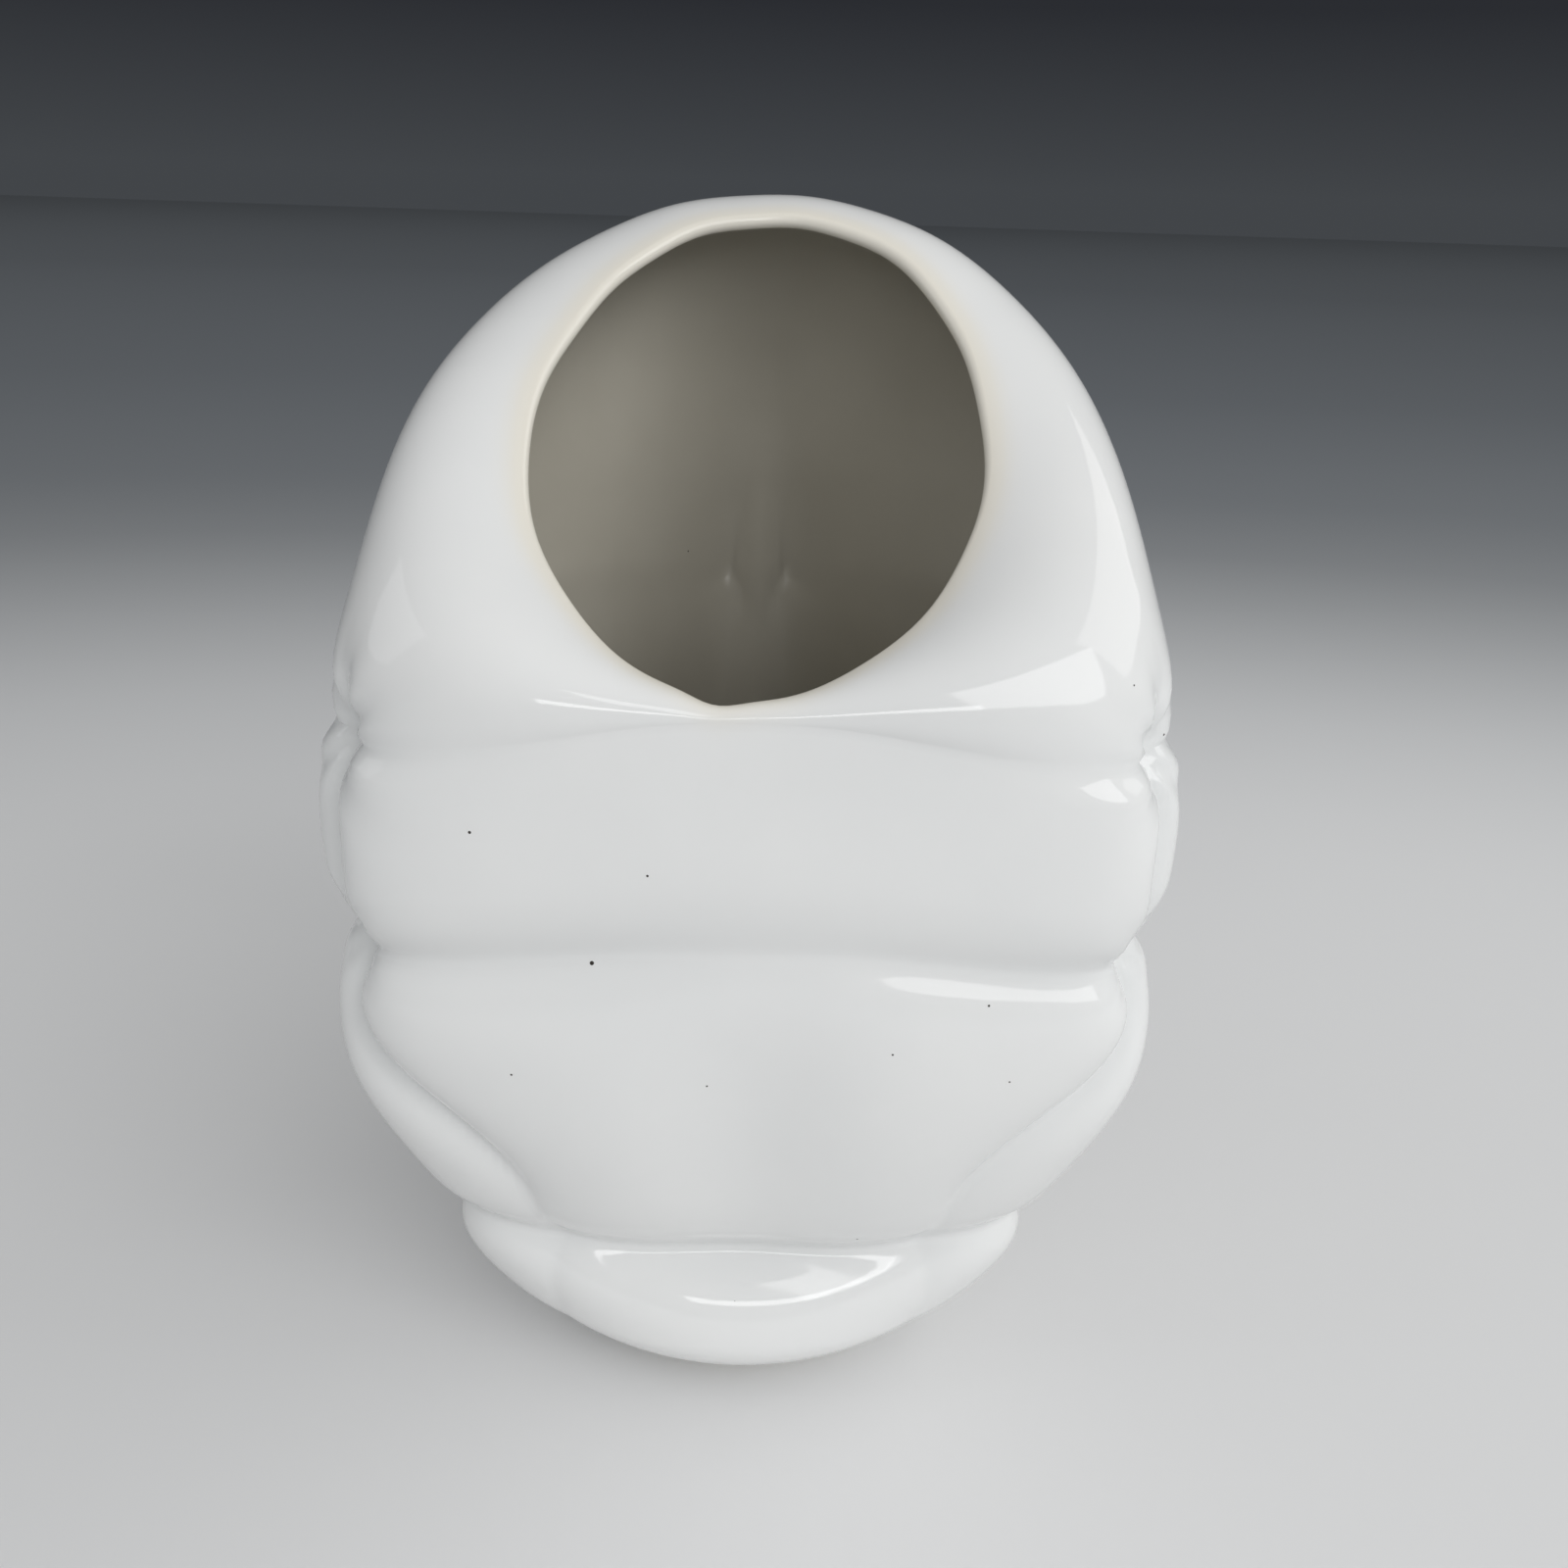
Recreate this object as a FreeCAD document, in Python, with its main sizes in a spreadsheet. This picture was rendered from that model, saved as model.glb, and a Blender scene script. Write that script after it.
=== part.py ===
import FreeCAD, Part
import Sketcher
import math
import os

# A pillow vase: a slip-cast, three-sided ovoid with puffed faces. Three creases
# part its four tiers, grooves run down its three corners, and the top tier slants
# up towards the back round a wide, hand-cut mouth.
# Angle 0 is the middle of the front face, towards -Y, and the corners lie at 60,
# 180 and 300 degrees. Height 0 is the surface that the foot stands on.

doc = FreeCAD.newDocument("pillow_vase")
sheet = doc.addObject("Spreadsheet::Sheet", "sizes")

SIZES = [
    # the envelope of the faces
    ("face_distance", 54.0, "axis to a face's middle at the widest level"),
    ("widest_level", 116.7, "level where the faces stand furthest out"),
    ("taper_share", 0.66, "face distance left at the foot"),
    ("taper_power_share", 1.35, "power of the taper towards the foot"),
    ("middle_puff", 2.5, "extra swelling of the tier over the low crease"),
    ("bottom_puff", 3.4, "extra swelling of the bottom tier"),
    ("shoulder_puff", 3.0, "extra swelling of the middle tier beside the grooves"),
    # the plan
    ("corner_share", 3.42, "power of the three-sided plan, larger is sharper"),
    ("low_corner_share", 3.03, "the same power at the low crease"),
    ("round_share", 1.16, "radius of the round plan at the foot over the face distance"),
    # the creases
    ("top_crease_level", 144.1, "crease under the top tier, at a face's middle"),
    ("middle_crease_level", 103.9, "crease between the two middle tiers"),
    ("low_crease_level", 30.2, "crease over the bottom tier"),
    ("top_crease_depth", 1.2, "depth at a face's middle"),
    ("middle_crease_depth", 3.4, "depth at a face's middle"),
    ("low_crease_depth", 6.5, "depth at a face's middle"),
    ("top_pinch", 3.6, "extra depth of the top crease at a corner"),
    ("middle_pinch", 1.0, "extra depth of the middle crease at a corner"),
    ("top_crease_width", 5.0, "half width of the top crease"),
    ("crease_width", 6.0, "half width of the other creases"),
    ("crease_droop", 8.8, "how far the upper creases sink at a corner"),
    # the upright grooves between the faces
    ("groove_depth", 9.0, "depth of a corner groove in the middle tiers"),
    ("groove_low_depth", 0.5, "depth left at the low crease"),
    ("groove_angle_share", 0.075, "half width of a groove, in radians"),
    # the top tier and the mouth
    ("mouth_radius", 40.5, "radius of the mouth's edge, seen from above"),
    ("mouth_offset", -6.1, "how far the mouth's middle lies behind the axis"),
    ("front_lip_level", 147.2, "level of the mouth's edge at the front"),
    ("slant_share", 0.83, "rise of the mouth's edge over its run to the back"),
    ("cap_puff", 3.6, "how far the top tier swells out over its crease"),
    ("cap_round_radius", 70.3, "radius that the top tier's sides turn round to"),
    ("cap_round_height", 40.4, "height of the top tier where its plan is round"),
    ("cap_side_share", 0.88, "how far up the top tier its side stays upright"),
    ("cap_turn_share", 0.67, "how far out its turn into the mouth begins"),
    ("cap_crown_share", 0.15, "rise of that turn over its run"),
    # the wall and the foot
    ("wall", 4.0, "thickness of the wall and of the floor"),
    ("foot_radius", 33.0, "radius of the flat that the foot ring is under"),
    ("foot_height", 4.0, "height of the foot ring"),
    ("underside_height", 13.0, "height over which the underside curls in"),
    ("ring_width", 7.0, "width of the foot ring"),
    ("ring_seat", 3.5, "how far the foot ring lies under the wall"),
    ("ring_chamfer", 0.8, "chamfer of the ring's lower edges"),
]
for row, (name, value, note) in enumerate(SIZES, start=1):
    sheet.set("A%d" % row, name)
    sheet.set("B%d" % row, str(value))
    sheet.setAlias("B%d" % row, name)
    sheet.set("C%d" % row, note)
doc.recompute()
size = {name: float(sheet.get(name)) for name, _, _ in SIZES}

FACES = 3
CORNER = math.pi / FACES
COLUMNS = 144
BODY_ROWS = 64
CAP_ROWS = 22
LIP_ROWS = 7
INNER_STEP = 2
UP = FreeCAD.Vector(0.0, 0.0, 1.0)

LOW = size["low_crease_level"]
MIDDLE = size["middle_crease_level"]
TOP = size["top_crease_level"]


def smooth(share):
    """0 to 1 with a level start and end"""
    share = min(max(share, 0.0), 1.0)
    return share * share * (3.0 - 2.0 * share)


def swell(share):
    """0 at both ends of a tier and 1 half way"""
    share = min(max(share, 0.0), 1.0)
    return 4.0 * share * (1.0 - share)


def cornerness(angle):
    """0 at a face's middle and 1 at a corner"""
    return 0.5 - 0.5 * math.cos(FACES * angle)


def face_distance(level):
    """The envelope's distance from the axis to a face's middle"""
    widest = size["widest_level"]
    down = max(0.0, (widest - level) / widest)
    lost = (1.0 - size["taper_share"]) * down ** size["taper_power_share"]
    puff = size["middle_puff"] * swell((level - LOW) / (MIDDLE - LOW))
    return size["face_distance"] * (1.0 - lost) + puff + size["bottom_puff"] * swell(level / LOW)


def plan_share(angle, level):
    """The plan's radius over the face distance: three-sided, but round at the foot"""
    power = size["corner_share"]
    power += (size["low_corner_share"] - power) * smooth((MIDDLE - level) / (MIDDLE - LOW))
    total = 0.0
    for face in range(FACES):
        facing = math.cos(angle - 2.0 * CORNER * face)
        if facing > 0.0:
            total += facing ** power
    round_foot = smooth(1.0 - level / (LOW + size["crease_width"]))
    sided = total ** (-1.0 / power)
    return sided + (size["round_share"] - sided) * round_foot


def crease_cut(angle, level):
    """How deep the three creases cut at this place"""
    creases = (
        (TOP, size["top_crease_depth"], size["top_pinch"], size["top_crease_width"]),
        (MIDDLE, size["middle_crease_depth"], size["middle_pinch"], size["crease_width"]),
        (LOW, size["low_crease_depth"], 0.0, size["crease_width"]),
    )
    cut = 0.0
    for where, depth, pinch, width in creases:
        off = (level - where) / width
        cut += (depth + pinch * cornerness(angle)) / (1.0 + off * off) ** 1.5
    return cut


def groove_cut(angle, level):
    """How deep the nearest corner groove cuts at this place"""
    deep = size["groove_low_depth"]
    deep += (size["groove_depth"] - deep) * smooth((level - LOW) / (MIDDLE - LOW) / 0.8)
    off = (angle - CORNER) % (2.0 * CORNER)
    off = min(off, 2.0 * CORNER - off) / size["groove_angle_share"]
    return deep * smooth(level / LOW) * math.exp(0.3 - math.hypot(off, 0.3))


def plain_radius(angle, level):
    """The outer skin's radius without the corner grooves"""
    distance = face_distance(level)
    radius = distance * plan_share(angle, level)
    beside = math.sin(FACES * angle) ** 2
    radius += size["shoulder_puff"] * swell((level - LOW) / (MIDDLE - LOW)) * beside
    return radius - crease_cut(angle, level) * min(1.0, 2.0 * distance / size["face_distance"])


def drooped(angle, level):
    """The height of a level, which sinks towards the corners in the upper tiers"""
    droop = size["crease_droop"] * smooth((level - LOW) / (MIDDLE - LOW))
    return level - droop * cornerness(angle)


def outward(angle):
    return FreeCAD.Vector(math.sin(angle), -math.cos(angle), 0.0)


def body_point(angle, level):
    """A point of the outer skin, up to the top crease"""
    radius = plain_radius(angle, level) - groove_cut(angle, level)
    curl = (level - size["foot_height"]) / size["underside_height"]
    if curl < 1.0:
        bend = math.sqrt(1.0 - (1.0 - curl) ** 2)
        radius = size["foot_radius"] + (radius - size["foot_radius"]) * bend
    return outward(angle) * radius + UP * drooped(angle, level)


def mouth_point(angle):
    """A point of the mouth's edge: round from above, and slanted up to the back"""
    offset, radius = size["mouth_offset"], size["mouth_radius"]
    along = -offset * math.cos(angle)
    reach = along + math.sqrt(radius * radius - offset * offset + along * along)
    back = -reach * math.cos(angle) - (offset - radius)
    return outward(angle) * reach + UP * (size["front_lip_level"] + size["slant_share"] * back)


def cap_point(angle, share):
    """A point of the top tier, on the curve from its crease to the mouth's edge"""
    start, end = body_point(angle, TOP), mouth_point(angle)
    radius, reach = plain_radius(angle, TOP), math.hypot(end.x, end.y)
    tall = smooth((end.z - start.z) / size["cap_round_height"])
    radius += (size["cap_round_radius"] - radius) * tall
    side = outward(angle) * (radius + size["cap_puff"])
    side += UP * (start.z + size["cap_side_share"] * (end.z - start.z))
    rise = size["cap_crown_share"] + size["slant_share"] * max(0.0, -math.cos(angle)) ** 1.5
    turn = end + (outward(angle) + UP * rise) * (size["cap_turn_share"] * (radius - reach))
    left = 1.0 - share
    point = start * left ** 3 + side * (3.0 * left * left * share)
    return point + turn * (3.0 * left * share * share) + end * share ** 3


def outer_rows():
    """Rings of points of the outer skin, from the foot up to the mouth"""
    angles = [2.0 * math.pi * column / COLUMNS for column in range(COLUMNS)]
    rows = []
    for row in range(BODY_ROWS + 1):
        # the first rings lie closer, where the underside curls in
        share = (row / BODY_ROWS) ** 1.25
        level = size["foot_height"] + (TOP - size["foot_height"]) * share
        rows.append([body_point(angle, level) for angle in angles])
    for row in range(1, CAP_ROWS + 1):
        rows.append([cap_point(angle, row / CAP_ROWS) for angle in angles])
    return rows


def normals(rows, row):
    """The outward normals of one ring, and its directions up the wall"""
    below, above = rows[max(row - 1, 0)], rows[min(row + 1, len(rows) - 1)]
    result = []
    for column in range(COLUMNS):
        along = rows[row][(column + 1) % COLUMNS] - rows[row][column - 1]
        up = above[column] - below[column]
        result.append((along.cross(up).normalize(), up.normalize()))
    return result


def skin_rows():
    """The outer skin, the rounded lip and the inner skin, as one run of rings"""
    rows = outer_rows()
    outer = len(rows)
    half = size["wall"] / 2.0
    lip = normals(rows, outer - 1)
    edge = rows[outer - 1]
    for row in range(1, LIP_ROWS):
        turn = math.pi * row / LIP_ROWS
        ring = []
        for column in range(COLUMNS):
            out, up = lip[column]
            middle = edge[column] - out * half
            ring.append(middle + out * (half * math.cos(turn)) + up * (half * math.sin(turn)))
        rows.append(ring)
    for row in range(outer - 1, 0, -INNER_STEP):
        ring = []
        for column, (out, up) in enumerate(normals(rows[:outer], row)):
            ring.append(rows[row][column] - out * size["wall"])
        rows.append(ring)
    # the last ring lies level on the floor's height, over the outer skin's first
    floor = size["foot_height"] + size["wall"]
    rows.append([FreeCAD.Vector(p.x, p.y, floor) for p in rows[0]])
    return rows


def skin_surface(rows):
    """One smooth surface round the axis, with the rings as its poles"""
    poles = [[ring[column] for ring in rows] for column in range(COLUMNS)]
    across = len(rows) - 3
    surface = Part.BSplineSurface()
    surface.buildFromPolesMultsKnots(
        poles,
        [1] * (COLUMNS + 1),
        [4] + [1] * (across - 1) + [4],
        list(range(COLUMNS + 1)),
        list(range(across + 1)),
        True,
        False,
        3,
        3,
    )
    return surface


def ring_face(edge, circle):
    """The flat face between the skin's edge and the floor's edge"""
    return Part.makeFace([Part.Wire(edge), Part.Wire(circle)], "Part::FaceMakerBullseye")


def wall_shape():
    skin = skin_surface(skin_rows()).toShape()
    floor_radius = size["foot_radius"] - size["ring_seat"]
    middle = size["foot_height"] + size["wall"] / 2.0
    level_edges = [e for e in skin.Edges if e.BoundBox.ZLength < size["wall"] / 100.0]
    lower = [e for e in level_edges if e.BoundBox.ZMax < middle]
    upper = [e for e in level_edges if e.BoundBox.ZMax > middle]
    up = FreeCAD.Vector(0, 0, 1)
    circle = Part.makeCircle(floor_radius, FreeCAD.Vector(0, 0, size["foot_height"]), up)
    bore = circle.extrude(up * size["wall"])
    top_circle = Part.makeCircle(floor_radius, FreeCAD.Vector(0, 0, size["foot_height"] + size["wall"]), up)
    faces = [skin, bore, ring_face(lower[0], circle), ring_face(upper[0], top_circle)]
    shell = Part.makeShell(faces)
    shell.sewShape()
    solid = Part.Solid(Part.Shell(shell.Faces))
    if solid.Volume < 0.0:
        solid.reverse()
    return solid


body_wall = doc.addObject("Part::Feature", "body_wall")
body_wall.Label = "body_wall"
body_wall.Shape = wall_shape()

# The origin lies under the middle of the whole vase, so the axis stands off it.
depth = body_wall.Shape.BoundBox
last = len(SIZES) + 1
sheet.set("A%d" % last, "axis_place")
sheet.set("B%d" % last, str(-(depth.YMin + depth.YMax) / 2.0))
sheet.setAlias("B%d" % last, "axis_place")
sheet.set("C%d" % last, "where the axis stands along Y, worked out from the wall")
doc.recompute()
body_wall.setExpression("Placement.Base.y", "sizes.axis_place")

# The floor closes the wall's bottom opening, flush with it above and below.
floor_plate = doc.addObject("Part::Cylinder", "floor_plate")
floor_plate.Label = "floor_plate"
floor_plate.setExpression("Radius", "sizes.foot_radius - sizes.ring_seat")
floor_plate.setExpression("Height", "sizes.wall")
floor_plate.setExpression("Placement.Base.y", "sizes.axis_place")
floor_plate.setExpression("Placement.Base.z", "sizes.foot_height")

# The bare foot ring, revolved from its section, with chamfered lower edges.
OUTSIDE = "sizes.foot_radius"
INSIDE = "(sizes.foot_radius - sizes.ring_width)"
CHAMFER = "sizes.ring_chamfer"
RING_CORNERS = [
    (INSIDE + " + " + CHAMFER, None),
    (OUTSIDE + " - " + CHAMFER, None),
    (OUTSIDE, CHAMFER),
    (OUTSIDE, "sizes.foot_height"),
    (INSIDE, "sizes.foot_height"),
    (INSIDE, CHAMFER),
]
ring_outer = size["foot_radius"]
ring_inner = ring_outer - size["ring_width"]
chamfer = size["ring_chamfer"]
ring_points = [
    FreeCAD.Vector(ring_inner + chamfer, 0.0, 0.0),
    FreeCAD.Vector(ring_outer - chamfer, 0.0, 0.0),
    FreeCAD.Vector(ring_outer, chamfer, 0.0),
    FreeCAD.Vector(ring_outer, size["foot_height"], 0.0),
    FreeCAD.Vector(ring_inner, size["foot_height"], 0.0),
    FreeCAD.Vector(ring_inner, chamfer, 0.0),
]
foot_ring = doc.addObject("PartDesign::Body", "foot_ring")
foot_ring.Label = "foot_ring"
foot_ring.setExpression("Placement.Base.y", "sizes.axis_place")
plane = [f for f in foot_ring.Origin.OriginFeatures if f.Role == "XZ_Plane"][0]
section = foot_ring.newObject("Sketcher::SketchObject", "ring_section")
section.AttachmentSupport = [(plane, "")]
section.MapMode = "FlatFace"
sides = len(ring_points)
for side in range(sides):
    section.addGeometry(Part.LineSegment(ring_points[side], ring_points[(side + 1) % sides]), False)
for side in range(sides):
    section.addConstraint(Sketcher.Constraint("Coincident", side, 2, (side + 1) % sides, 1))
for side, (across, high) in enumerate(RING_CORNERS):
    point = ring_points[side]
    number = section.addConstraint(Sketcher.Constraint("DistanceX", -1, 1, side, 1, point.x))
    section.setExpression("Constraints[%d]" % number, across)
    if high is None:
        section.addConstraint(Sketcher.Constraint("PointOnObject", side, 1, -1))
    else:
        number = section.addConstraint(Sketcher.Constraint("DistanceY", -1, 1, side, 1, point.y))
        section.setExpression("Constraints[%d]" % number, high)
doc.recompute()
ring_turn = foot_ring.newObject("PartDesign::Revolution", "ring_turn")
ring_turn.Profile = section
ring_turn.ReferenceAxis = (section, ["V_Axis"])
ring_turn.Angle = 360.0

doc.recompute()
for item in doc.Objects:
    if "Invalid" in item.State or "Error" in item.State:
        raise RuntimeError("%s failed: %s" % (item.Name, item.State))
os.makedirs("parts", exist_ok=True)
for node in (body_wall, floor_plate, foot_ring):
    shape = node.Shape
    if shape.isNull() or not shape.isValid() or len(shape.Solids) != 1:
        raise RuntimeError("%s is not one valid solid" % node.Label)
for node in (body_wall, floor_plate, foot_ring):
    node.Shape.exportStep("parts/%s.step" % node.Label)
    box = node.Shape.BoundBox
    print(node.Label, round(node.Shape.Volume), [round(v, 2) for v in (box.XMin, box.XMax, box.YMin, box.YMax, box.ZMin, box.ZMax)])
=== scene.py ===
import math

import bpy
import numpy as np
from mathutils import Matrix, Vector


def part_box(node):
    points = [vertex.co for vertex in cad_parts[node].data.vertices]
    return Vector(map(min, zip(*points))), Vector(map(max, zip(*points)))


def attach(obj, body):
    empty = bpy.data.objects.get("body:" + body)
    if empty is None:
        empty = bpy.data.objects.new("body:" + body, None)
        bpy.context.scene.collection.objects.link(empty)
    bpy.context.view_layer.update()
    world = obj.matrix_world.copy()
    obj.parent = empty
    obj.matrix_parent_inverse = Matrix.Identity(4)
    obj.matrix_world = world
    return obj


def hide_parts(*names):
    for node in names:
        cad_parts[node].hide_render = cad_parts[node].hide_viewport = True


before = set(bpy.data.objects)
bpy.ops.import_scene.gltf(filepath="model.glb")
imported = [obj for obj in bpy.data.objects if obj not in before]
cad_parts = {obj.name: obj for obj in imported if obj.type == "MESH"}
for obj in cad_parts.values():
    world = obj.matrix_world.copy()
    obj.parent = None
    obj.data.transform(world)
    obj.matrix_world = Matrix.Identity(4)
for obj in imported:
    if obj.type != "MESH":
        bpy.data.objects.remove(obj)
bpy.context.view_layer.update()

# ---------------------------------------------------------------- body wall
# The vase's wall: one slip-cast shell with three puffed faces, four tiers and a slanted,
# hand-cut mouth, under a glossy white glaze. The outer skin rolls over the lip into the
# inner skin, and both end on the flat that the foot ring is under.
# Angle 0 is the middle of the front face, towards -Y; the corners lie at 60, 180, 300 degrees.

foot_low, foot_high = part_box("foot_ring")
AXIS_Y = (foot_low[1] + foot_high[1]) / 2.0

FACE_DISTANCE, WIDEST = 0.0540, 0.1167      # axis to a face's middle at the widest level, that level
TAPER, TAPER_POWER = 0.66, 1.35             # what is left of it at the foot, and how it gets there
MIDDLE_PUFF, BOTTOM_PUFF, SHOULDER_PUFF = 0.0025, 0.0042, 0.0025    # how far the tiers swell
MIDDLE_SKEW = 1.3                           # puts the middle tier's fullest level over its half
MOULD_EASE = 0.0017                         # how much blunter the corners come out of the mould
CORNER_POWER, LOW_CORNER_POWER, ROUND_PLAN = 3.42, 3.03, 1.16   # the plan: higher is squarer
CORNER_REACH = 1.5                          # a corner's radius over the face distance, about
TOP, MIDDLE, LOW = 0.1441, 0.1039, 0.0325   # the three creases, and next each one's
TOP_CREASE = (TOP, 0.0001, 0.0036, 0.0050)  # level, depth, more depth at a corner, width
MIDDLE_CREASE = (MIDDLE, 0.0014, 0.0021, 0.0065)
LOW_CREASE = (LOW, 0.0050, -0.0020, 0.0060)
TOP_DROOP, MIDDLE_DROOP, LOW_RISE = 0.0080, 0.0050, 0.0050      # the creases' bends at a corner
FRONT_EASE, EASE_START, EASE_ANGLE = 0.0036, 0.116, 0.90        # the front's lean under the lip
GROOVE, LOW_GROOVE, GROOVE_ANGLE, GROOVE_ROUND = 0.0086, 0.0012, 0.075, 0.15
SWING, SWING_TOP, SWING_END = 0.31, 0.096, 0.046    # the front grooves turn in towards the foot
GROOVE_FADE, BACK_FADE = 0.012, 0.030       # how far the grooves run up into the top tier
FAN_WIDTH, FAN_START, FAN_FOLDS = 0.0055, 0.003, 8.0            # the pinched folds at the grooves
TOP_FAN, MIDDLE_FAN = 0.00055, 0.00028      # their heights
MOUTH_RADIUS, MOUTH_OFFSET = 0.0405, -0.0061
MOUTH_WAVES = ((-0.0011, 2.0, 0.0), (0.0003, 5.0, 2.1), (0.00015, 11.0, 0.4))   # height, count, turn
MOUTH_TIP, TIP_TURN, TIP_ANGLE = 0.0011, 0.13, 0.10
FRONT_LIP, SLANT = 0.1472, 0.865            # the mouth's lowest height, and its rise over its run
CAP_ROUND_RADIUS, CAP_ROUND_HEIGHT = 0.0703, 0.0404     # the top tier's radius where it is tall
CAP_PUFF, CAP_PUFF_HEIGHT = 0.0036, 0.6 * CAP_ROUND_HEIGHT
CAP_SIDE, CAP_TURN, CAP_CROWN, CAP_BACK = 0.88, 0.67, 0.15, 0.34
FRONT_PUFF_CUT, FRONT_SIDE_CUT = 0.9, 0.4   # what the front lacks of its puff and its side
WALL, LIP = 0.0040, 0.0030                  # the wall's thickness, and what is left at the lip
SOFT_PASSES, SOFT_LIMIT, SOFT_ROWS = 40, 0.0030, 6.0
FOOT_RADIUS, FOOT_HEIGHT, CURL_HEIGHT, FLOOR_RADIUS = 0.0330, 0.0040, 0.0120, 0.0295
LIP_GLOW, DEEPEST_CREASE = 0.0030, 0.0065   # scales of the marks that the glaze uses

CORNER = math.pi / 3.0
COLUMNS, BODY_ROWS, CAP_ROWS, LIP_ROWS = 336, 130, 40, 11


def smooth(share):
    """3s^2 - 2s^3 of a share cut to 0..1, which starts and ends level."""
    share = np.clip(share, 0.0, 1.0)
    return share * share * (3.0 - 2.0 * share)


def swell(share):
    """4s(1 - s): 0 at both ends of a tier and 1 half way."""
    share = np.clip(share, 0.0, 1.0)
    return 4.0 * share * (1.0 - share)


def turned_from_front(angle):
    """The angle from the front face's middle, from -pi to pi."""
    return (angle + math.pi) % (2.0 * math.pi) - math.pi


def groove_off(angle, level):
    """The angle to the nearest groove. The back one is straight; under the middle crease the
    front two swing in towards the front face's middle."""
    turned = np.abs(turned_from_front(angle))
    front = CORNER - SWING * smooth((SWING_TOP - level) / (SWING_TOP - SWING_END))
    return np.minimum(np.abs(turned - front), math.pi - turned)


def cornerness(angle):
    """(1 - cos 3a) / 2: 0 at a face's middle and 1 at a corner."""
    return 0.5 - 0.5 * np.cos(3.0 * angle)


def front_share(angle):
    """1 over most of the front face, and 0 past its corners: exp(-(a / 0.9)^4)."""
    return np.exp(-((turned_from_front(angle) / 0.9) ** 4))


def back_share(angle):
    """1 at the back corner, and 0 from about 50 degrees off it: exp(-(a / 0.45)^2)."""
    return np.exp(-(((math.pi - np.abs(turned_from_front(angle))) / 0.45) ** 2))


def face_distance(level):
    """The axis-to-face distance: it tapers by a power law under the widest level, and swells
    in the tier over the low crease and in the bottom tier."""
    down = np.maximum(0.0, (WIDEST - level) / WIDEST)
    distance = FACE_DISTANCE * (1.0 - (1.0 - TAPER) * down ** TAPER_POWER)
    tier = np.clip((level - LOW) / (MIDDLE - LOW), 0.0, 1.0) ** MIDDLE_SKEW
    return distance + MIDDLE_PUFF * swell(tier) + BOTTOM_PUFF * swell(level / LOW)


def plan_share(angle, level):
    """The plan's radius over the face distance: (sum over the faces of max(cos, 0)^n)^(-1/n),
    which turns to a circle towards the foot."""
    lower = smooth((MIDDLE - level) / (MIDDLE - LOW))
    power = CORNER_POWER + (LOW_CORNER_POWER - CORNER_POWER) * lower
    total = sum(np.maximum(np.cos(angle - 2.0 * CORNER * face), 1e-9) ** power for face in range(3))
    sided = total ** (-1.0 / power)
    return sided + (ROUND_PLAN - sided) * smooth(1.0 - level / (LOW + LOW_CREASE[3]))


def crease_cut(angle, level):
    """The three creases: each cuts (depth + pinch) / (1 + (off / width)^2)^1.5. The top one
    is hardly there between its pinched ends, and isn't pinched at the back."""
    cut = 0.0
    for where, depth, pinch, width in (TOP_CREASE, MIDDLE_CREASE, LOW_CREASE):
        off = (level - where) / width
        ends = cornerness(angle)
        if where == TOP:
            ends = ends ** 6 * (1.0 - back_share(angle))
        cut = cut + (depth + pinch * ends) / (1.0 + off * off) ** 1.5
    return cut


def groove_cut(angle, level):
    """The corner grooves: depth * exp(r - hypot(off, r)), a V with a rounded bottom."""
    deep = LOW_GROOVE + (GROOVE - LOW_GROOVE) * smooth((level - LOW) / (MIDDLE - LOW)) ** 0.7
    off = groove_off(angle, level) / GROOVE_ANGLE
    return deep * smooth(level / LOW) * np.exp(GROOVE_ROUND - np.hypot(off, GROOVE_ROUND))


def folds(angle, above, height):
    """Pinched folds that fan out where a crease meets a groove:
    -height * d * exp(1 - d) * cos nt, with d the distance over its width, t the direction."""
    along = groove_off(angle, TOP) * FACE_DISTANCE * CORNER_REACH
    away = np.hypot(along, above) / FAN_WIDTH
    turn = np.arctan2(above, along + 1e-6)
    fan = -height * away * np.exp(1.0 - away) * np.cos(FAN_FOLDS * turn)
    return fan * smooth(along / FAN_START)


def plain_radius(angle, level):
    """The outer radius without the grooves: the plan, the shoulders beside the grooves
    (sin^2 3a), less the creases."""
    distance = face_distance(level)
    radius = distance * plan_share(angle, level)
    shoulders = SHOULDER_PUFF * swell((level - LOW) / (MIDDLE - LOW))
    radius = radius + shoulders * np.sin(3.0 * angle) ** 2
    radius = radius - MOULD_EASE * cornerness(angle) ** 2 * smooth(level / LOW)
    return radius - crease_cut(angle, level) * np.minimum(1.0, 2.0 * distance / FACE_DISTANCE)


def drooped(angle, level):
    """A level's height: the upper creases sink towards the corners, and the low one climbs."""
    upper = smooth((level - LOW) / (MIDDLE - LOW))
    climb = LOW_RISE * smooth(level / LOW) * (1.0 - upper) * cornerness(angle) ** 3
    uppermost = smooth((level - MIDDLE) / (TOP - MIDDLE))
    droop = MIDDLE_DROOP * upper + (TOP_DROOP - MIDDLE_DROOP) * uppermost
    return level - droop * cornerness(angle) ** 1.5 + climb


def front_lean(angle, level):
    """How far the front leans in under the lip: a squared run up to the top crease, which
    dies out like a bell to both sides."""
    run = np.clip((level - EASE_START) / (TOP - EASE_START), 0.0, 1.0)
    return FRONT_EASE * run ** 2 * np.exp(-((turned_from_front(angle) / EASE_ANGLE) ** 2))


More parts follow.
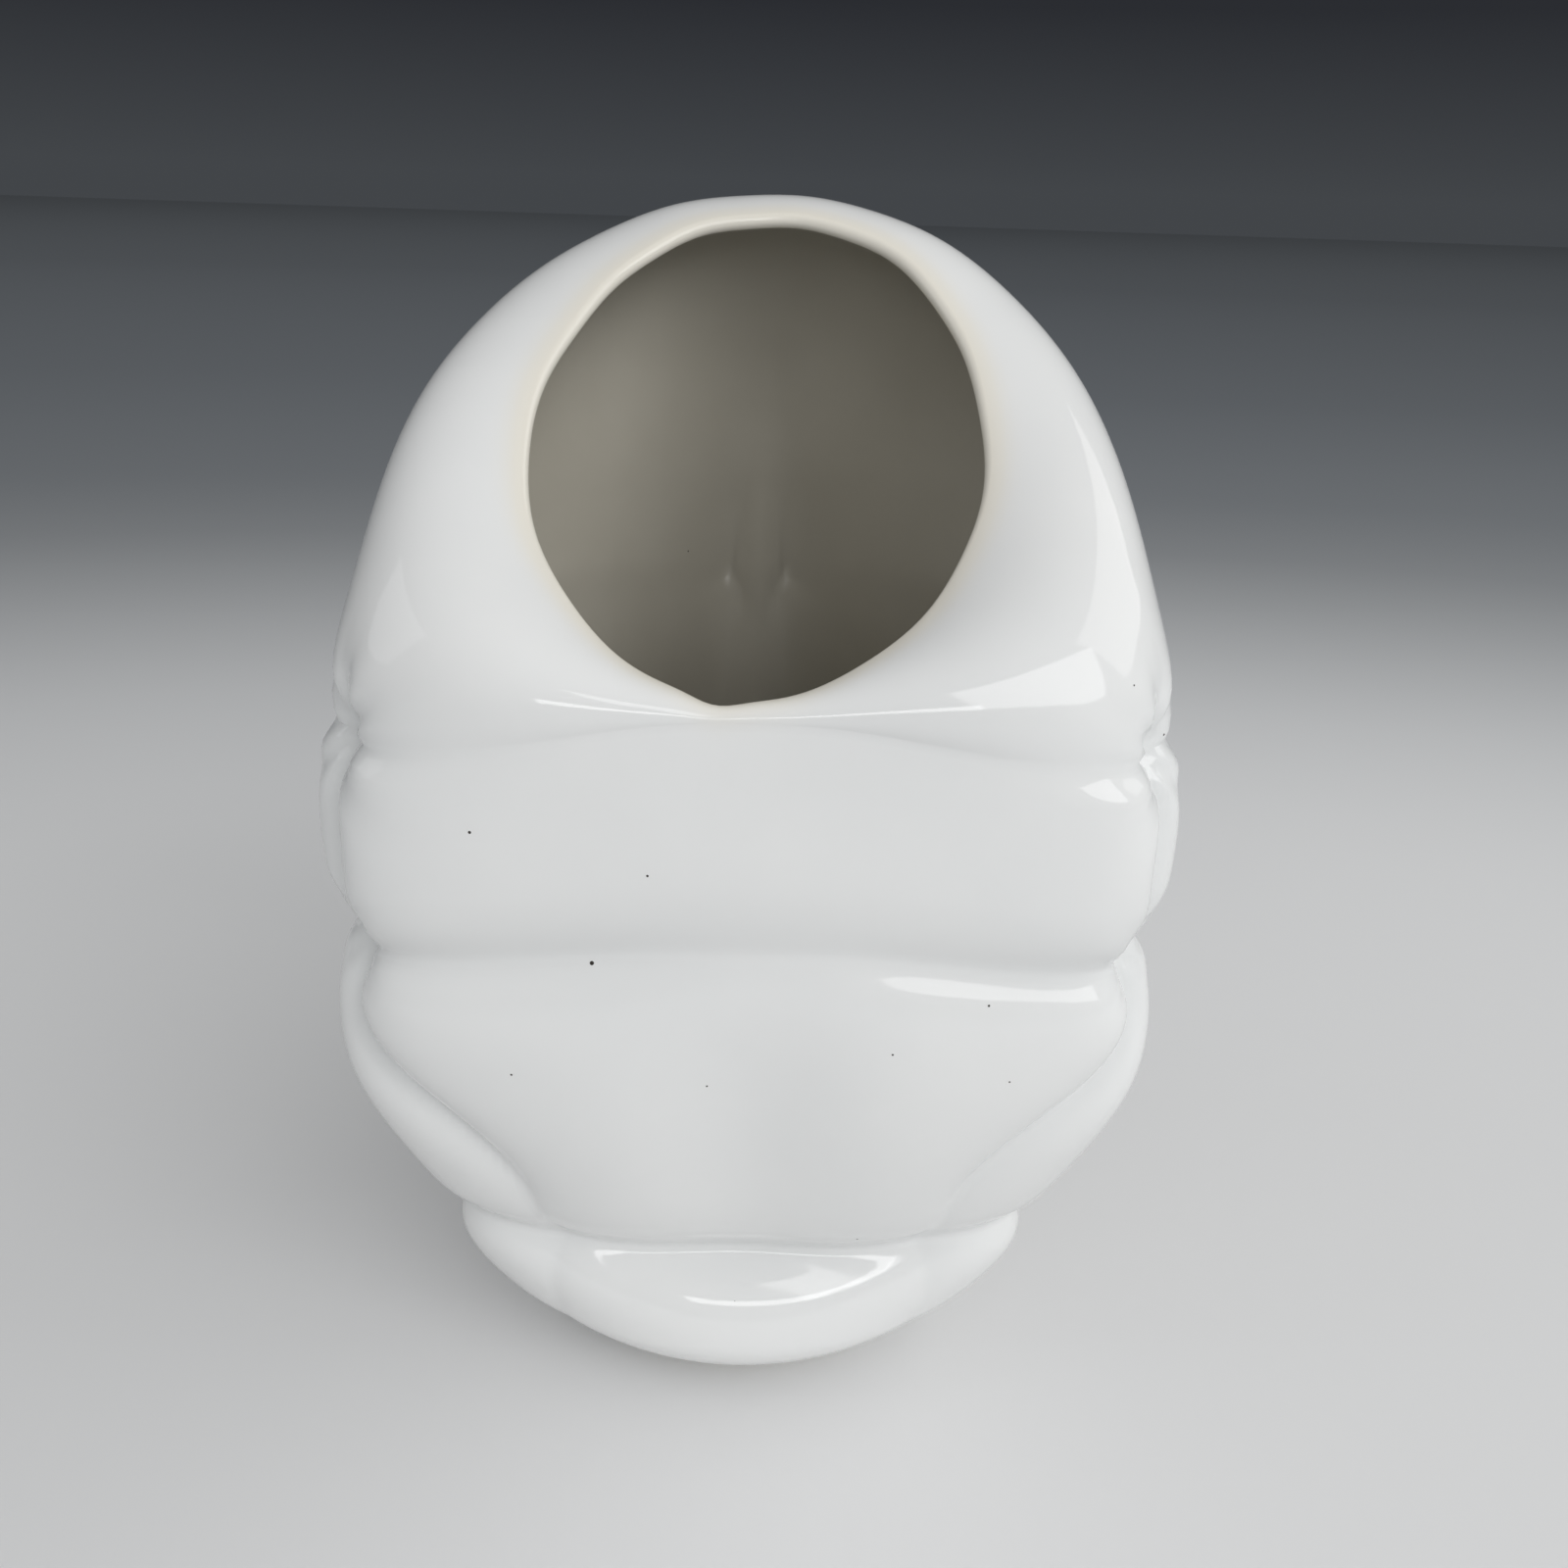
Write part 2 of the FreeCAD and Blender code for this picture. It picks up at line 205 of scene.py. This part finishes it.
def body_skin(angle, level):
    """Radius and height up to the top crease. The underside is drawn in to the foot along
    a quarter of an ellipse."""
    radius = plain_radius(angle, level) - groove_cut(angle, level) - front_lean(angle, level)
    radius = radius + folds(angle, level - TOP, TOP_FAN) + folds(angle, level - MIDDLE, MIDDLE_FAN)
    curl = np.clip((level - FOOT_HEIGHT) / CURL_HEIGHT, 0.0, 1.0)
    radius = FOOT_RADIUS + (radius - FOOT_RADIUS) * np.sqrt(1.0 - (1.0 - curl) ** 2)
    return radius, drooped(angle, level)


def mouth_edge(angle):
    """Radius and height of the hand-cut edge: a circle about a point in front of the axis,
    a few slow waves and one small tip at the front, laid on the slanted plane."""
    along = -MOUTH_OFFSET * np.cos(angle)
    reach = along + np.sqrt(MOUTH_RADIUS ** 2 - MOUTH_OFFSET ** 2 + along ** 2)
    for high, count, turn in MOUTH_WAVES:
        reach = reach + high * np.sin(count * angle + turn)
    reach = reach + MOUTH_TIP * np.exp(-((turned_from_front(angle) + TIP_TURN) / TIP_ANGLE) ** 2)
    back = -reach * np.cos(angle) - (MOUTH_OFFSET - MOUTH_RADIUS)
    return reach, FRONT_LIP + SLANT * back


def cap_skin(angle, share):
    """Radius and height of the top tier: a cubic curve from the top crease, up its side and
    over a round shoulder in to the mouth's edge, into which the grooves run out."""
    start = plain_radius(angle, TOP) - front_lean(angle, TOP)
    low = drooped(angle, TOP)
    reach, high = mouth_edge(angle)
    radius = start + (CAP_ROUND_RADIUS - start) * smooth((high - low) / CAP_ROUND_HEIGHT)
    front = front_share(angle)
    side = radius + CAP_PUFF * smooth((high - low) / CAP_PUFF_HEIGHT) * (1.0 - FRONT_PUFF_CUT * front)
    side_height = low + CAP_SIDE * (1.0 - FRONT_SIDE_CUT * front) * (high - low)
    rise = CAP_CROWN + CAP_BACK * np.maximum(0.0, -np.cos(angle)) ** 1.5
    run = CAP_TURN * (radius - reach)
    left = 1.0 - share
    weights = (left ** 3, 3.0 * left * left * share, 3.0 * left * share * share, share ** 3)
    out = sum(w * v for w, v in zip(weights, (start, side, reach + run, reach)))
    height = sum(w * v for w, v in zip(weights, (low, side_height, high + rise * run, high)))
    above = 3.0 * CAP_SIDE * (high - low) * share
    fade = GROOVE_FADE + (BACK_FADE - GROOVE_FADE) * back_share(angle)
    out = out - groove_cut(angle, TOP) / (1.0 + (above / fade) ** 2) ** 2
    return out + folds(angle, above, TOP_FAN), height


def turned_points(angle, radius, height):
    """Points at those angles, radii and heights about the vase's axis."""
    across = radius * np.sin(angle)
    return np.stack((across, AXIS_Y - radius * np.cos(angle), height + 0.0 * across), axis=-1)


def grid_faces(rows, columns, closed):
    """Four-sided faces of a grid that closes round the axis, and over its rows if asked."""
    row = np.arange(rows if closed else rows - 1)[:, None]
    column = np.arange(columns)[None, :]
    here, there = row * columns, (row + 1) % rows * columns
    onward = (column + 1) % columns
    faces = np.stack((here + column, here + onward, there + onward, there + column), axis=-1)
    return faces.reshape(-1, 4)


def make_piece(name, points, faces, marks, material):
    """A smooth-shaded mesh at the origin, with its marks as point attributes. It rides on the
    root, as nothing on a vase moves."""
    mesh = bpy.data.meshes.new(name)
    mesh.from_pydata(points.reshape(-1, 3).tolist(), [], faces)
    for mark, values in marks.items():
        layer = mesh.attributes.new(mark, "FLOAT", "POINT")
        layer.data.foreach_set("value", np.ascontiguousarray(values, dtype=np.float32).ravel())
    mesh.materials.append(material)
    mesh.shade_smooth()
    mesh.set_sharp_from_angle(angle=math.radians(50.0))
    mesh.update()
    piece = bpy.data.objects.new(name, mesh)
    bpy.context.scene.collection.objects.link(piece)
    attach(piece, "root")
    return piece


# the rings' angles lie closer together at the corners, where the grooves are
even = 2.0 * math.pi * np.arange(COLUMNS) / COLUMNS
angles = even - 0.5 / 3.0 * np.sin(3.0 * (even - CORNER))
levels = FOOT_HEIGHT + (TOP - FOOT_HEIGHT) * (np.arange(BODY_ROWS + 1) / BODY_ROWS) ** 1.25
shares = np.arange(1, CAP_ROWS + 1) / CAP_ROWS
around, level_grid, share_grid = angles[None, :], levels[:, None], shares[:, None]
outer = np.concatenate((
    turned_points(around, *body_skin(around, level_grid)),
    turned_points(around, *cap_skin(around, share_grid)),
))
turning = np.roll(outer, -1, axis=1) - np.roll(outer, 1, axis=1)
rising = np.gradient(outer, axis=0)
normals = np.cross(turning, rising)
normals /= np.linalg.norm(normals, axis=2, keepdims=True)
rising /= np.linalg.norm(rising, axis=2, keepdims=True)

thick = np.full(len(outer), WALL)
thick[BODY_ROWS + 1:] -= (WALL - LIP) * smooth((shares - 0.6) / 0.4)
edge, out_way, in_way = outer[-1], normals[-1], rising[-1]
roll = (math.pi * np.arange(1, LIP_ROWS) / LIP_ROWS)[:, None, None]
lip = edge - out_way * LIP / 2.0 + LIP / 2.0 * (out_way * np.cos(roll) + in_way * np.sin(roll))
inner_rows = np.arange(len(outer) - 1, 0, -2)
inner = outer[inner_rows] - normals[inner_rows] * thick[inner_rows, None, None]
# the slip leaves the inside smoother than the mould makes the outside
softened = inner.copy()
for _ in range(SOFT_PASSES):
    padded = np.concatenate((softened[:1], softened, softened[-1:]))
    softened = 0.25 * padded[:-2] + 0.5 * softened + 0.25 * padded[2:]
    softened = 0.25 * np.roll(softened, 1, 1) + 0.5 * softened + 0.25 * np.roll(softened, -1, 1)
moved = softened - inner
far = np.linalg.norm(moved, axis=2, keepdims=True)
from_lip = np.arange(len(inner))
settle = smooth(from_lip / SOFT_ROWS) * smooth((len(inner) - 1 - from_lip) / SOFT_ROWS)
inner += moved * np.minimum(1.0, SOFT_LIMIT / np.maximum(far, 1e-9)) * settle[:, None, None]
seat = np.concatenate([
    turned_points(around, np.full((1, 1), radius), np.full((1, 1), height))
    for radius, height in (
        (FOOT_RADIUS, FOOT_HEIGHT + WALL),
        (FLOOR_RADIUS, FOOT_HEIGHT + WALL),
        (FLOOR_RADIUS, FOOT_HEIGHT),
    )
])
rings = np.concatenate((outer, lip, inner, seat))

# marks: how far inside a point is, how near the lip, and how deep in a crease or groove; the glaze
# paints shade by the first and the last
from_edge = np.linalg.norm(rings - edge[None], axis=2)
lip_mark = np.exp(-((from_edge / LIP_GLOW) ** 2))
lip_mark[len(outer):len(outer) + len(lip)] = 1.0
inside = np.zeros(rings.shape[:2])
inside[len(outer) + len(lip):] = 1.0
inside[len(outer) + len(lip)] = 0.25
inside[-1] = 0.0
# the valley mark sets where the glaze paints shade into the creases and grooves
valley = np.zeros(rings.shape[:2])
deepest = crease_cut(around, level_grid) / DEEPEST_CREASE
valley[:BODY_ROWS + 1] = np.clip(deepest + groove_cut(around, level_grid) / GROOVE, 0.0, 1.0)
start_valley = valley[BODY_ROWS][None]
valley[BODY_ROWS + 1:len(outer)] = start_valley * (1.0 - smooth(share_grid * 4.0))


def put(tree, kind, inputs=(), **settings):
    """One shader node. Inputs give a socket its value, or the output that feeds it."""
    node = tree.nodes.new("ShaderNode" + kind)
    for name, value in settings.items():
        setattr(node, name, value)
    for socket, value in dict(inputs).items():
        if isinstance(value, bpy.types.NodeSocket):
            tree.links.new(value, node.inputs[socket])
        else:
            node.inputs[socket].default_value = value
    return node


def blend_colour(tree, share, low, high):
    """low where share is 0, high where it is 1."""
    mix = put(tree, "Mix", {0: share, 6: low, 7: high}, data_type="RGBA")
    return mix.outputs[2]


def math_node(tree, way, first, second):
    """One arithmetic node on two numbers or outputs, cut to 0..1."""
    return put(tree, "Math", {0: first, 1: second}, operation=way, use_clamp=True).outputs[0]


def new_material(name):
    """A material with a Principled shader and nothing else."""
    material = bpy.data.materials.new(name)
    material.use_nodes = True
    tree = material.node_tree
    tree.nodes.clear()
    shader = tree.nodes.new("ShaderNodeBsdfPrincipled")
    output = tree.nodes.new("ShaderNodeOutputMaterial")
    tree.links.new(shader.outputs["BSDF"], output.inputs["Surface"])
    return material, tree, shader


# The glaze: neutral white and mirror-smooth, faintly clouded, with painted shade that makes it greyer
# and a touch cooler in the creases and grooves, cream where it thins over the lip, and duller inside,
# where painted shade makes it a dark taupe. Iron specks and pinholes lie under it.
WHITE, CLOUD = (0.800, 0.803, 0.795, 1.0), (0.770, 0.775, 0.770, 1.0)
# the crease colour is painted shade, greyer and cooler, for the creases and grooves
CREASE_SHADE, CREAM = (0.705, 0.720, 0.722, 1.0), (0.790, 0.745, 0.640, 1.0)
# the taupes are painted shade for the inside, where little light reaches
SHADE_TAUPE, DEEP_SHADE_TAUPE = (0.500, 0.475, 0.410, 1.0), (0.430, 0.405, 0.340, 1.0)
IRON = (0.045, 0.038, 0.034, 1.0)
# the specks that stand out: degrees from the front, level, radius
SPECKS = (
    (-26.9, 0.1029, 0.00036), (-40.3, 0.1303, 0.00026), (24.5, 0.0880, 0.00018),
    (-7.0, 0.0790, 0.00018), (38.0, 0.0985, 0.00020),
)

glaze, tree, shader = new_material("white_glaze")
place = put(tree, "TexCoord").outputs["Object"]
clouds = put(tree, "TexNoise", {"Vector": place, "Scale": 21.0, "Detail": 3.0, "Roughness": 0.5})
cloudy = put(tree, "MapRange", {0: clouds.outputs[0], 1: 0.35, 2: 0.68, 3: 0.0, 4: 1.0}).outputs[0]
colour = blend_colour(tree, cloudy, WHITE, CLOUD)
valley_mark = put(tree, "Attribute", attribute_name="valley").outputs["Fac"]
# painted shade: greyer and a touch cooler the deeper a point lies in a crease or groove
colour = blend_colour(tree, math_node(tree, "MULTIPLY", valley_mark, 0.45), colour, CREASE_SHADE)
lip_near = put(tree, "Attribute", attribute_name="lip").outputs["Fac"]
colour = blend_colour(tree, math_node(tree, "MULTIPLY", lip_near, 0.75), colour, CREAM)
inside_mark = put(tree, "Attribute", attribute_name="inside").outputs["Fac"]
dull = put(tree, "TexNoise", {"Vector": place, "Scale": 38.0, "Detail": 4.0, "Roughness": 0.55})
# painted shade: the inside is painted a dark taupe, where little light reaches
inner_shade_colour = blend_colour(tree, dull.outputs[0], SHADE_TAUPE, DEEP_SHADE_TAUPE)
colour = blend_colour(tree, inside_mark, colour, inner_shade_colour)
specks = put(tree, "TexVoronoi", {"Vector": place, "Scale": 130.0})
rare = put(tree, "SeparateColor", {0: specks.outputs["Color"]})
near_speck = math_node(tree, "LESS_THAN", specks.outputs["Distance"], 0.030)
kept = math_node(tree, "GREATER_THAN", rare.outputs[0], 0.82)
speck_share = math_node(tree, "MULTIPLY", near_speck, kept)
for turned, level, size in SPECKS:
    where = np.radians(turned)
    spot = turned_points(where, *body_skin(where, np.float64(level))).tolist()
    gap = put(tree, "VectorMath", {0: place, 1: spot}, operation="DISTANCE").outputs["Value"]
    speck_share = math_node(tree, "MAXIMUM", speck_share, math_node(tree, "LESS_THAN", gap, size))
colour = blend_colour(tree, speck_share, colour, IRON)
tree.links.new(colour, shader.inputs["Base Color"])
sheen = put(tree, "MapRange", {0: clouds.outputs[0], 1: 0.3, 2: 0.7, 3: 0.045, 4: 0.085}).outputs[0]
rough = put(tree, "Mix", {0: inside_mark, 2: sheen, 3: 0.34})
tree.links.new(rough.outputs[0], shader.inputs["Roughness"])
shader.inputs["IOR"].default_value = 1.52
ripple = put(tree, "TexNoise", {"Vector": place, "Scale": 48.0, "Detail": 2.0, "Roughness": 0.4})
peel = put(tree, "TexNoise", {"Vector": place, "Scale": 420.0, "Detail": 1.0})
slow = put(tree, "Bump", {"Strength": 1.0, "Distance": 0.00016, "Height": ripple.outputs[0]})
fine = put(tree, "Bump", {"Strength": 1.0, "Distance": 0.000004, "Height": peel.outputs[0],
                          "Normal": slow.outputs[0]})
pit = put(tree, "Bump", {"Strength": 1.0, "Distance": 0.0001, "Height": speck_share,
                         "Normal": fine.outputs[0]}, invert=True)
tree.links.new(pit.outputs[0], shader.inputs["Normal"])

vase_body = make_piece(
    "vase_body", rings, grid_faces(len(rings), COLUMNS, True).tolist(),
    {"inside": inside, "lip": lip_mark, "valley": valley}, glaze,
)
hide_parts("body_wall")

# ---------------------------------------------------------------- floor
# The vase's floor: the cast shell's flat bottom inside the foot, glazed on both sides. It is
# slightly dished above and hollow below, where slip shrinks as it dries.
DISH = 0.0006
DISH_RINGS = 14

floor_shares = np.arange(1, DISH_RINGS + 1)[:, None] / DISH_RINGS
sunk = DISH * (1.0 - floor_shares ** 2) ** 2
floor_top = turned_points(around, FLOOR_RADIUS * floor_shares, FOOT_HEIGHT + WALL - sunk)
floor_under = turned_points(around, FLOOR_RADIUS * floor_shares, FOOT_HEIGHT + sunk)
# under side from its middle out, then the top side from its rim in
floor_rings = np.concatenate((floor_under, floor_top[::-1]))
floor_points = np.concatenate((
    floor_rings.reshape(-1, 3),
    [[0.0, AXIS_Y, FOOT_HEIGHT + DISH], [0.0, AXIS_Y, FOOT_HEIGHT + WALL - DISH]],
))
floor_faces = grid_faces(2 * DISH_RINGS, COLUMNS, False).tolist()
under_middle, top_middle = len(floor_points) - 2, len(floor_points) - 1
last = (2 * DISH_RINGS - 1) * COLUMNS
floor_faces += [[(c + 1) % COLUMNS, c, under_middle] for c in range(COLUMNS)]
floor_faces += [[last + c, last + (c + 1) % COLUMNS, top_middle] for c in range(COLUMNS)]
floor_inside = np.zeros(len(floor_points))
floor_inside[DISH_RINGS * COLUMNS:last + COLUMNS] = 1.0
floor_inside[-1] = 1.0
nothing = np.zeros(len(floor_points))
vase_floor = make_piece(
    "vase_floor", floor_points, floor_faces,
    {"inside": floor_inside, "lip": nothing, "valley": nothing}, glaze,
)
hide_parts("floor_plate")

# ---------------------------------------------------------------- foot ring
# The foot ring: the one place wiped free of glaze, so that the vase doesn't stick in the kiln.
# Bare, fired clay with rounded lower edges, a fine grain, and a rubbed seat.
RING_INNER, RING_EDGE, ARC_STEPS = 0.0260, 0.0012, 7
SIDE_START, TOP_START, BORE_START, SEAT_START = 0.0019, 0.0017, 0.0030, 0.0022  # past the edges
CLAY, CLAY_GRAIN, RUBBED = (0.80, 0.765, 0.690, 1.0), (0.68, 0.645, 0.570, 1.0), (0.42, 0.38, 0.32, 1.0)

bend = np.linspace(0.0, 0.5 * math.pi, ARC_STEPS)
top_radii = np.linspace(FOOT_RADIUS - TOP_START, RING_INNER, 4)
seat_radii = np.linspace(RING_INNER + SEAT_START, FOOT_RADIUS - SEAT_START, 3)
# radius and height, from the seat's outer edge up the outside, over the top and down the bore
profile = np.concatenate((
    np.stack((FOOT_RADIUS - RING_EDGE + RING_EDGE * np.sin(bend),
              RING_EDGE - RING_EDGE * np.cos(bend)), axis=1),
    np.stack((np.full(4, FOOT_RADIUS), np.linspace(SIDE_START, FOOT_HEIGHT, 4)), axis=1),
    np.stack((top_radii, np.full(4, FOOT_HEIGHT)), axis=1),
    np.stack((np.full(2, RING_INNER), (BORE_START, SIDE_START)), axis=1),
    np.stack((RING_INNER + RING_EDGE - RING_EDGE * np.cos(bend),
              RING_EDGE - RING_EDGE * np.sin(bend)), axis=1),
    np.stack((seat_radii, np.zeros(3)), axis=1),
))
ring_points = turned_points(around, profile[:, 0:1], profile[:, 1:2])

clay, tree, shader = new_material("bare_clay")
place = put(tree, "TexCoord").outputs["Object"]
grain = put(tree, "TexNoise", {"Vector": place, "Scale": 900.0, "Detail": 4.0, "Roughness": 0.65})
stain = put(tree, "TexNoise", {"Vector": place, "Scale": 60.0, "Detail": 4.0, "Roughness": 0.6})
colour = blend_colour(tree, grain.outputs[0], CLAY, CLAY_GRAIN)
height = put(tree, "SeparateXYZ", {0: place}).outputs[2]
rubbed = put(tree, "MapRange", {0: height, 1: 0.0014, 2: 0.0, 3: 0.0, 4: 0.55}).outputs[0]
rubbed = math_node(tree, "MULTIPLY", rubbed, stain.outputs[0])
colour = blend_colour(tree, rubbed, colour, RUBBED)
tree.links.new(colour, shader.inputs["Base Color"])
shader.inputs["Roughness"].default_value = 0.82
tooth = put(tree, "Bump", {"Strength": 0.8, "Distance": 0.00008, "Height": grain.outputs[0]})
tree.links.new(tooth.outputs[0], shader.inputs["Normal"])

ring_faces = grid_faces(len(profile), COLUMNS, True).tolist()
foot_rim = make_piece("foot_rim", ring_points, ring_faces, {}, clay)
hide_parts("foot_ring")

# ---------------------------------------------------------------- table
# The table that the vase stands on: its colour is pale round the vase and darker further off, out
# towards the dark slate room behind it.
TABLE_REACH = 9.0
PALE = (        # how far from the vase, and how pale the table is there
    (0.00, 0.790), (0.26, 0.745), (0.38, 0.640), (0.48, 0.510), (0.58, 0.400),
    (0.70, 0.295), (0.90, 0.235), (1.50, 0.212), (3.50, 0.178), (9.00, 0.100),
)

reach = np.linspace(-TABLE_REACH, TABLE_REACH, 3)
spots = np.stack(np.meshgrid(reach, reach), axis=-1).reshape(-1, 2)
table_mesh = bpy.data.meshes.new("table")
table_mesh.from_pydata(
    [(x, y, 0.0) for x, y in spots.tolist()], [],
    [(r * 3 + c, r * 3 + c + 1, r * 3 + c + 4, r * 3 + c + 3) for r in range(2) for c in range(2)],
)
table = bpy.data.objects.new("table", table_mesh)
bpy.context.scene.collection.objects.link(table)
cloth, tree, shader = new_material("pale_table")
place = put(tree, "TexCoord").outputs["Object"]
# the pale patch is wider than it is deep
wide = put(tree, "VectorMath", {0: place, 1: (0.6, 1.0, 0.0)}, operation="MULTIPLY").outputs[0]
distance = put(tree, "VectorMath", {0: wide}, operation="LENGTH").outputs["Value"]
along = put(tree, "MapRange", {0: distance, 1: 0.0, 2: TABLE_REACH, 3: 0.0, 4: 1.0}).outputs[0]
ramp = put(tree, "ValToRGB", {0: along})
ramp.color_ramp.interpolation = "B_SPLINE"
for number, (far, tone) in enumerate(PALE):
    if number < 2:
        stop = ramp.color_ramp.elements[number]
        stop.position = far / TABLE_REACH
    else:
        stop = ramp.color_ramp.elements.new(far / TABLE_REACH)
    cool = 1.0 + 0.08 * min(1.0, far * far)
    stop.color = (tone / cool, tone, tone * cool, 1.0)
tree.links.new(ramp.outputs[0], shader.inputs["Base Color"])
shader.inputs["Roughness"].default_value = 1.0
shader.inputs["Specular IOR Level"].default_value = 0.0
table_mesh.materials.append(cloth)

# ---------------------------------------------------------------- light
# Plain soft studio light: a scrim to the right of the camera, a softbox to the right and
# behind, a weak one to the left, a strip over the camera, and a fill from the room, which is
# brighter in front than behind.
LAMP_AIM = Vector((0.0, AXIS_Y, 0.11))
SLATE, DUSK, DAYLIGHT = (0.055, 0.060, 0.066, 1.0), (0.024, 0.026, 0.031, 1.0), (0.98, 0.99, 1.0, 1.0)
BRIGHT_WAY = (0.40, -0.88, 0.25)            # the side of the room that most of the fill comes from


def softbox(name, where, size, power, tint=(1.0, 1.0, 1.0)):
    """A rectangular lamp that faces the vase."""
    lamp = bpy.data.lights.new(name, "AREA")
    lamp.shape = "RECTANGLE"
    lamp.size, lamp.size_y = size
    lamp.energy = power
    lamp.color = tint
    holder = bpy.data.objects.new(name, lamp)
    facing = (LAMP_AIM - Vector(where)).to_track_quat("-Z", "Y").to_matrix().to_4x4()
    holder.matrix_world = Matrix.Translation(where) @ facing
    holder.visible_camera = False
    bpy.context.scene.collection.objects.link(holder)


softbox("right_softbox", (1.10, 0.10, 1.00), (1.1, 0.9), 3.6, (1.0, 0.995, 0.98))
softbox("left_softbox", (-1.15, -0.15, 0.90), (0.8, 0.8), 1.3, (0.985, 0.99, 1.0))
softbox("front_scrim", (0.80, -1.15, 0.95), (1.5, 1.0), 11.5)
softbox("front_strip", (0.04, -1.05, 0.40), (0.36, 0.12), 0.6)

room = bpy.data.worlds.new("room")
room.use_nodes = True
tree = room.node_tree
tree.nodes.clear()
way = put(tree, "TexCoord").outputs["Generated"]
upward = put(tree, "SeparateXYZ", {0: way}).outputs[2]
dusk = put(tree, "MapRange", {0: upward, 1: 0.0, 2: 0.10, 3: 0.0, 4: 1.0}).outputs[0]
slate = blend_colour(tree, dusk, SLATE, DUSK)
seen = put(tree, "Background", {0: slate, 1: 1.0})
facing = put(tree, "VectorMath", {0: way, 1: BRIGHT_WAY}, operation="DOT_PRODUCT").outputs["Value"]
strength = put(tree, "MapRange", {0: facing, 1: -0.7, 2: 0.9, 3: 0.22, 4: 0.62}).outputs[0]
fill = put(tree, "Background", {0: DAYLIGHT, 1: strength})
ray = put(tree, "LightPath")
mirrored = math_node(tree, "MAXIMUM", ray.outputs["Is Glossy Ray"], ray.outputs["Is Transmission Ray"])
direct = math_node(tree, "MAXIMUM", ray.outputs["Is Camera Ray"], mirrored)
chosen = put(tree, "MixShader", {0: direct, 1: fill.outputs[0], 2: seen.outputs[0]})
put(tree, "OutputWorld", {0: chosen.outputs[0]})
bpy.context.scene.world = room

# ---------------------------------------------------------------- camera
# A phone held close, in front of the vase and over its mouth, tilted down by 22 degrees.
CAMERA_PLACE = (-0.0001, AXIS_Y - 0.2659, 0.2228)
YAW, PITCH, ROLL = math.radians(-1.36), math.radians(67.68), math.radians(1.95)

lens = bpy.data.cameras.new("camera")
lens.lens, lens.sensor_width = 33.75, 36.0
lens.clip_start = 0.01
camera = bpy.data.objects.new("camera", lens)
camera.matrix_world = (
    Matrix.Translation(CAMERA_PLACE)
    @ Matrix.Rotation(YAW, 4, "Z")
    @ Matrix.Rotation(PITCH, 4, "X")
    @ Matrix.Rotation(ROLL, 4, "Z")
)
bpy.context.scene.collection.objects.link(camera)
bpy.context.scene.camera = camera
bpy.context.scene.view_settings.view_transform = "Standard"
